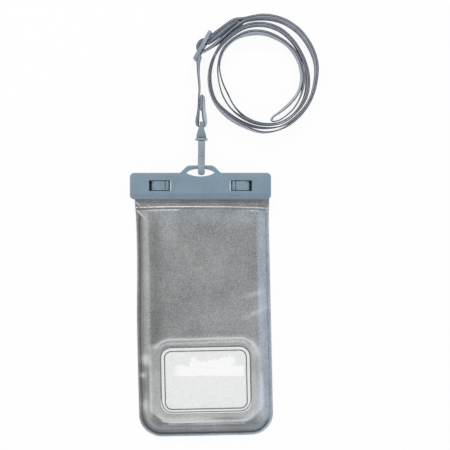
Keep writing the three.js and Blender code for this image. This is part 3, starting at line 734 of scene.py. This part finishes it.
def film(name, rows, insets, columns, height, finish, slot, node, window=False):
    """A film: rings of faces inwards from its edge, and rows of faces inside them."""
    left = film_edge(rows)
    bm = bmesh.new()
    inset_at = bm.verts.layers.float.new("inset")
    painted_shading_at = bm.verts.layers.float.new("pale")
    blue_reflection_at = bm.verts.layers.float.new("blue_reflection")

    def vertex(x, down, inset):
        if window:
            x, down = to_opening(x, down)
        v = bm.verts.new(film_place(bowed(x, down), down, height(x, down, inset)))
        v[inset_at] = inset
        # Painted light and shade, and the painted bluish reflection, for the glitter's colour.
        v[painted_shading_at] = painted_shading(x, down, inset)
        v[blue_reflection_at] = painted_blue_reflection(x, down, inset)
        return v

    last = insets[-1]
    shares = [1 - 2 * j / columns for j in range(columns + 1)]
    grid = [
        [vertex((x + way_x * last) * share, down + way_down * last, last) for share in shares]
        for x, down, way_x, way_down in left
    ]
    low_x, low_down = left[-1][:2]
    low = [(low_x * share, low_down, 0.0, -1.0) for share in shares[1:-1]]
    right = [(-x, down, -way_x, way_down) for x, down, way_x, way_down in reversed(left)]
    rings = [
        [vertex(x + way_x * inset, down + way_down * inset, inset) for x, down, way_x, way_down in edge]
        for inset, edge in ((inset, left + low + right) for inset in insets[:-1])
    ]
    rings.append([row[0] for row in grid] + grid[-1][1:-1] + [row[-1] for row in reversed(grid)])
    for outer, inner in zip(rings, rings[1:]):
        for j in range(len(outer) - 1):
            bm.faces.new((outer[j], outer[j + 1], inner[j + 1], inner[j]))
    for upper, lower in zip(grid, grid[1:]):
        for j in range(columns):
            bm.faces.new((upper[j], lower[j], lower[j + 1], upper[j + 1]))
    if window:
        gone = [face for face in bm.faces if all(over_opening(v.co) for v in face.verts)]
        bmesh.ops.delete(bm, geom=gone, context="FACES")
    face_up(bm)
    obj = piece_of(name, mesh_of(bm, name), finish, "pouch", slot, node)
    thicken(obj)
    return obj


def spaced(stretches):
    """Numbers from the first stretch's start on, each stretch with its own step."""
    values = []
    for start, end, step in stretches:
        count = max(1, round((end - start) / step))
        values += [start + (end - start) * i / count for i in range(count)]
    return values + [stretches[-1][1]]


def glitter_finish():
    f = Finish("glitter_film")
    place = f.place()
    fleck = f.flakes(place, 1900)
    tiny = f.flakes(place, 3600)
    cloud = f.grain(place, 34, 4, 0.6)
    fine = f.grain(place, 1200, 3, 0.7)
    # The carried pale value adds painted light and shade to the glitter's tone.
    light = fleck * 0.26 + tiny * 0.26 + fine * 0.2 + cloud * 0.46 + f.carried("pale")
    light = light.between(0.2, 1.25)
    grey = f.tone(light, rgb(106, 108, 108), rgb(212, 213, 213))
    # The bluish tone is a painted reflection, mixed in where the mesh carries it.
    blue = f.tone(light, rgb(98, 108, 115), rgb(205, 215, 226))
    return f.surface(
        Base_Color=f.tone(f.carried("blue_reflection"), grey, blue), Metallic=0.3, Roughness=0.36 + 0.2 * fine,
        Coat_Weight=1.0, Coat_Roughness=0.07, IOR=1.5,
        Normal=f.bump(fleck * 0.6 + tiny * 0.4 + cloud * 1.5, 0.35, 0.00025),
    )


def window_welds(f, place):
    """The window's two weld lines. The outer one lies further in along the bottom."""
    inset = f.carried("inset")
    _, y, _ = f.axes_in_mm(place)
    outer = inset - (1 - y.between(-86, -78))
    welds = outer.between(-0.4, -0.1) * (1 - outer.between(0.35, 0.8))
    return welds + inset.between(2.9, 3.2) * (1 - inset.between(3.6, 3.95))


def window_painted_reflection(f, place):
    """A painted reflection across the window: a low pale band, and a shorter one above it, with ragged ends.
    """
    x, y, _ = f.axes_in_mm(place)
    wobble = (f.grain(place, 70, 2) - 0.5) * 14
    low = (y + wobble * 0.1).between(-60.6, -60.2) * (1 - (y + wobble * 0.5).between(-53.5, -52))
    low = low * (x + wobble).between(-25, -19) * (1 - x.between(33.5, 35))
    high = y.between(-54, -53.2) * (1 - (y + wobble).between(-46.5, -45))
    high = high * (x + wobble).between(-11, -8) * (1 - (x + wobble * 1.5).between(22, 28))
    return low.most(high) * f.carried("inset").between(4, 5)


def clear_finish(name, clearness, tone, panelled=False):
    """Clear film. Where it is panelled it has the window's dark weld lines and a painted reflection."""
    f = Finish(name)
    place = f.place()
    haze = f.grain(place, 60, 3, 0.6)
    dust = f.grain(place, 1400, 2)
    alpha = clearness * (0.5 + haze)
    colour = f.tone(haze, tone, rgb(250, 250, 249))
    if panelled:
        welds, painted_reflection = window_welds(f, place), window_painted_reflection(f, place)
        # Painted reflection: whiter and clearer where the reflection band lies.
        colour = f.tone(welds, f.tone(painted_reflection, colour, rgb(255, 255, 255)), rgb(84, 88, 90))
        alpha = (alpha + welds * 0.42) * (1 - painted_reflection * 0.85)
    return f.surface(
        Base_Color=colour, Roughness=0.26 + dust * 0.12, Alpha=alpha,
        IOR=1.46, Normal=f.bump(haze, 0.08, 0.0006),
    )


GLITTER = glitter_finish()
CLEAR = clear_finish("clear_film", 0.085, rgb(238, 231, 220), panelled=True)
BACKING = clear_finish("clear_backing", 0.03, rgb(246, 242, 236))
RING = clear_finish("pane_border", 0.31, rgb(216, 218, 219), panelled=True)

front = film(
    "front_film_tray",
    spaced([(-FILM_GRIP, 3, 1.0), (3, 14, 0.3), (14, 112, 1.25), (112, FILM_SHOULDER, 0.9)]),
    [0, 0.5, 1, 1.5, 2, 2.35, 2.55, 2.75, 2.95, 3.2, 3.8, 4.6, 5.4, 6.2, 7, 7.8, 8.6, 9.4, 10.4, 11.6],
    80, front_height, GLITTER, "glitter_film", "front_film", window=True,
)
rear = film(
    "rear_film_sheet",
    spaced([(-FILM_GRIP, 26, 1.8), (26, FILM_SHOULDER, 5)]),
    [0, 1.2, 2.4, 4, 7, 11.6], 24, rear_height, BACKING, "clear_film", "rear_film",
)


# Window

def pane_height(inset, x, y):
    """The window's upper face: a flat border ring, a fine groove and the pane itself."""
    z = 8.95 + 0.85 * smoothstep(inset, -0.1, 0.9)
    z -= 0.15 * smoothstep(inset, 1.4, 2.6)
    z -= 0.5 * smoothstep(inset, 3.0, 3.5)
    z -= 0.25 * swell(inset, 3.45, 0.3)
    wave = smoothstep(inset, 4, 9)
    z += wave * 0.3 * math.sin(x * 0.2 + 0.8 * math.sin(y * 0.22)) * swell(y, 11, 9)
    return z + wave * 0.25 * noise.noise(Vector((x * 0.06, y * 0.09, 1.7)))


def round_ring(half_x, half_y, corner, sides, arc):
    """Points round a box with round corners: even numbers on each side and in each corner."""
    bends = []
    for turn, (side_x, side_y) in enumerate(((1, 1), (-1, 1), (-1, -1), (1, -1))):
        x, y = side_x * (half_x - corner), side_y * (half_y - corner)
        angles = [(turn + i / arc) * math.pi / 2 for i in range(arc + 1)]
        bends.append([(x + corner * math.cos(a), y + corner * math.sin(a)) for a in angles])
    points = []
    for turn, bend in enumerate(bends):
        (x, y), (next_x, next_y) = bend[-1], bends[(turn + 1) % 4][0]
        count = sides[turn % 2]
        points += bend
        points += [(x + (next_x - x) * i / count, y + (next_y - y) * i / count) for i in range(1, count)]
    return points


def window_pane():
    """The window: its border ring in one finish and its pane in the next."""
    bm = bmesh.new()
    inset_at = bm.verts.layers.float.new("inset")
    insets = spaced([(-0.5, 4.0, 0.25), (4.0, PANE_HALF[1] - 1.2, 1.2)])
    rings = []
    for inset in insets:
        corner = max(PANE_CORNER - inset, 0.8)
        ring = round_ring(PANE_HALF[0] - inset, PANE_HALF[1] - inset, corner, (48, 30), 10)
        rings.append([
            bm.verts.new(film_place(x, PANE_DOWN - y, pane_height(inset, x, y))) for x, y in ring
        ])
        for v in rings[-1]:
            v[inset_at] = inset
    for inset, outer, inner in zip(insets, rings, rings[1:]):
        for j in range(len(outer)):
            k = (j + 1) % len(outer)
            face = bm.faces.new((outer[j], outer[k], inner[k], inner[j]))
            face.material_index = 0 if inset < PANE_BORDER else 1
    last = bm.faces.new(rings[-1])
    last.material_index = 1
    bmesh.ops.triangulate(bm, faces=[last])
    face_up(bm)
    obj = piece_of("window_sheet", mesh_of(bm, "window_sheet"), RING, "pouch", "clear_film", "window_pane")
    obj.data.materials.append(CLEAR)
    thicken(obj)
    return obj


pane = window_pane()


# Moulded pieces

BAR_MIDDLE = (-0.91, 94.5)
RAMP_REACH = (23.75, 25.0)
RAMP_HALF = 4.1


def ramp_highlight_mask(x, y, z):
    """Where a highlight is painted on the bar's face, on the ramps beside its two latch windows."""
    from_middle = (x - BAR_MIDDLE[0]).size()
    ramps = from_middle.between(RAMP_REACH[0], RAMP_REACH[0] + 0.2)
    ramps = ramps * (1 - from_middle.between(RAMP_REACH[1], RAMP_REACH[1] + 0.15))
    ramps = ramps * (1 - (y - BAR_MIDDLE[1]).size().between(RAMP_HALF, RAMP_HALF + 0.2))
    return ramps * z.between(7.3, 7.6)


def moulded_finish(name, dark, light, streak=(1, 1, 1), speckle=0.16, shade_below_height=None, ramp_highlight=False):
    """Moulded plastic. Painted shade darkens it below a given height, and a painted highlight whitens the
    latch ramps.
    """
    f = Finish(name)
    place = f.place()
    x, y, z = f.axes_in_mm(place)
    skin = f.grain(place, 2400, 2, 0.6)
    cloud = f.grain(place, 45, 3, 0.55)
    drawn = f.grain(f.stretched(place, streak), 420, 3, 0.6)
    light_at = cloud * 0.5 + drawn * 0.34 + skin * speckle
    colour = f.tone(light_at.between(0.22, 0.82), dark, light)
    if shade_below_height:
        # Painted shade: darker below the given height, where the latch sits deep in its window.
        colour = f.tone(z.between(shade_below_height - 0.9, shade_below_height), rgb(26, 34, 42), colour)
    if ramp_highlight:
        # Painted highlight on the ramps' bevels beside the latch windows.
        colour = f.tone(ramp_highlight_mask(x, y, z), colour, rgb(236, 239, 242))
    return f.surface(
        Base_Color=colour, Roughness=0.36 + 0.16 * drawn, Specular_IOR_Level=0.4,
        Normal=f.bump(skin * 0.7 + drawn * 0.3, 0.22, 0.00016),
    )


CLAMP = moulded_finish("clamp_plastic", rgb(120, 141, 156), rgb(140, 160, 174), ramp_highlight=True)
LATCH = moulded_finish("latch_plastic", rgb(114, 134, 147), rgb(146, 165, 176), (1, 0.25, 1), shade_below_height=8.0)
HOOK = moulded_finish("hook_plastic", rgb(124, 138, 148), rgb(170, 182, 192), (1, 0.12, 1), 0.1)
SWIVEL = moulded_finish("swivel_plastic", rgb(108, 122, 132), rgb(152, 165, 175), (1, 0.12, 1), 0.1)
RUBBER = moulded_finish("seal_rubber", rgb(192, 196, 200), rgb(214, 217, 219))


def round_rims(obj, width):
    """Rounds an object's sharp edges, as a mould leaves them."""
    rim = obj.modifiers.new("rounded_rims", "BEVEL")
    rim.width = width * MM
    rim.segments = 2
    rim.limit_method = "ANGLE"
    rim.angle_limit = math.radians(32)
    bpy.context.view_layer.objects.active = obj
    obj.select_set(True)
    bpy.ops.object.modifier_apply(modifier="rounded_rims")
    bpy.ops.object.shade_smooth_by_angle(angle=math.radians(38))
    obj.select_set(False)


def refined(name, node, finish, body, slot, edge, shaped=None):
    """A moulded piece on its CAD node's shape: one skin, with its edges rounded."""
    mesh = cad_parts[node].data.copy()
    mesh.name = name
    bm = bmesh.new()
    bm.from_mesh(mesh)
    bmesh.ops.remove_doubles(bm, verts=bm.verts, dist=0.00001)
    if shaped:
        for v in bm.verts:
            v.co = shaped(v.co / MM) * MM
    bmesh.ops.dissolve_limit(
        bm, angle_limit=math.radians(1.5), verts=bm.verts, edges=bm.edges, use_dissolve_boundaries=False
    )
    bm.to_mesh(mesh)
    bm.free()
    round_rims(piece_of(name, mesh, finish, body, slot, node), edge)


SLIDER_AXIS = Vector((math.cos(SLIDER_TURN), math.sin(SLIDER_TURN), 0))
SLIDER_LEAN = Matrix.Rotation(math.radians(-3), 3, SLIDER_AXIS)
SLIDER_PIVOT = Vector(STRAP_START) + Vector((*SLIDER_FOOT, 0))
HOOK_END = 103.2
HOOK_ROUND = 2.4


def leaned(spot):
    """Leans the slider about its own length."""
    return SLIDER_PIVOT + SLIDER_LEAN @ (spot - SLIDER_PIVOT)


def round_ended(spot):
    """Narrows the hook towards its bent end, so that it ends round."""
    down = max(0.0, HOOK_END + HOOK_ROUND - spot.y) / HOOK_ROUND
    narrow = 0.35 + 0.65 * math.sqrt(max(0.0, 1 - down * down))
    return Vector((STRAP_START[0] + (spot.x - STRAP_START[0]) * narrow, spot.y, spot.z))


refined("clamp_bar_front", "front_clamp_bar", CLAMP, "pouch", "clamp_plastic", 0.28)

BEAD_RADIUS = 0.42
BEAD_LENGTH = 109.5
BEAD_SPOT = (BAR_MIDDLE[0], 87.45, 9.52)
BEAD_FOOT = 9.3


def lip_bead():
    """The fine bead that runs along the bar's face above its lip."""
    bpy.ops.mesh.primitive_cylinder_add(
        vertices=16, radius=BEAD_RADIUS * MM, depth=BEAD_LENGTH * MM,
        location=[v * MM for v in BEAD_SPOT], rotation=(0, math.pi / 2, 0),
    )
    bead = bpy.context.object
    bead.name = "lip_bead"
    bpy.ops.object.transform_apply(location=True, rotation=True, scale=True)
    bpy.ops.object.mode_set(mode="EDIT")
    bpy.ops.mesh.select_all(action="SELECT")
    bpy.ops.mesh.bisect(
        plane_co=(0, 0, BEAD_FOOT * MM), plane_no=(0, 0, 1), clear_inner=True, use_fill=True
    )
    bpy.ops.mesh.select_all(action="SELECT")
    bpy.ops.mesh.normals_make_consistent(inside=False)
    bpy.ops.object.mode_set(mode="OBJECT")
    round_rims(bead, 0.12)
    bead.data.materials.append(CLAMP)
    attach(bead, "pouch")


lip_bead()
refined("clamp_bar_rear", "rear_clamp_bar", CLAMP, "pouch", "clamp_plastic", 0.28)
refined("thumb_latch_left", "latch_left", LATCH, "left_latch", "latch_plastic", 0.16)
refined("thumb_latch_right", "latch_right", LATCH, "right_latch", "latch_plastic", 0.16)
refined("snap_hook", "hook_body", HOOK, "hook", "hook_plastic", 0.2, shaped=round_ended)
refined("gate_leaf", "hook_gate", HOOK, "gate", "hook_plastic", 0.15)
refined("swivel", "swivel_eye", SWIVEL, "pouch", "hook_plastic", 0.35)
refined("slider", "strap_slider", HOOK, "pouch", "hook_plastic", 0.3, shaped=leaned)

for seal_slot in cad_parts["seal_strip"].material_slots:
    seal_slot.material = RUBBER


# Floor and light

WHITE = (1, 1, 1, 1)
PALE = (0.94, 0.94, 0.94, 1)


def make_floor():
    """A pale floor that keeps shadows, and looks nearly white to the camera and in gloss."""
    f = Finish("floor")
    seen = f.node("ShaderNodeLightPath", out="Is Camera Ray")
    for kind in ("Is Glossy Ray", "Is Transmission Ray"):
        seen = seen.most(f.node("ShaderNodeLightPath", out=kind))
    plain = f.node("ShaderNodeBsdfDiffuse", sockets={"Color": PALE})
    white = f.node("ShaderNodeEmission", sockets={"Color": WHITE, "Strength": 1})
    mixed = f.node("ShaderNodeMixShader", sockets=[seen * 0.93, plain, white])
    f.node("ShaderNodeOutputMaterial", sockets={"Surface": mixed})
    bpy.ops.mesh.primitive_plane_add(size=6, location=(0.02, 0.06, -0.0004))
    ground = bpy.context.object
    ground.name = "floor"
    ground.select_set(False)
    ground.data.materials.append(f.owner)


def make_world():
    """A soft white light from all round, and plain white behind the floor."""
    f = Finish("studio", bpy.data.worlds)
    seen = f.node("ShaderNodeLightPath", out="Is Camera Ray")
    soft = f.node("ShaderNodeBackground", sockets={"Color": WHITE, "Strength": 0.35})
    white = f.node("ShaderNodeBackground", sockets={"Color": WHITE, "Strength": 1})
    mixed = f.node("ShaderNodeMixShader", sockets=[seen, soft, white])
    f.node("ShaderNodeOutputWorld", sockets={"Surface": mixed})
    bpy.context.scene.world = f.owner


def make_lamp(name, spot, aim, width, height, power, colour=(1, 1, 1)):
    data = bpy.data.lights.new(name, "AREA")
    data.shape = "RECTANGLE"
    data.size = width
    data.size_y = height
    data.energy = power
    data.color = colour
    lamp = bpy.data.objects.new(name, data)
    lamp.location = spot
    lamp.rotation_euler = (Vector(aim) - Vector(spot)).to_track_quat("-Z", "Y").to_euler()
    bpy.context.collection.objects.link(lamp)


make_floor()
make_world()
make_lamp("lamp_left", (-0.75, 0.15, 0.42), (0, 0.05, 0), 0.9, 1.2, 3.9)
make_lamp("lamp_right", (0.8, 0.05, 0.45), (0.02, 0.05, 0), 0.9, 1.2, 3.5, (0.84, 0.92, 1.0))
make_lamp("lamp_top", (0.05, 0.95, 0.6), (0.02, 0.08, 0), 0.9, 0.11, 4.6)
make_lamp("lamp_near", (0.02, -0.85, 0.6), (0.02, 0.08, 0), 0.9, 0.3, 2.4)
bpy.context.scene.view_settings.view_transform = "Standard"
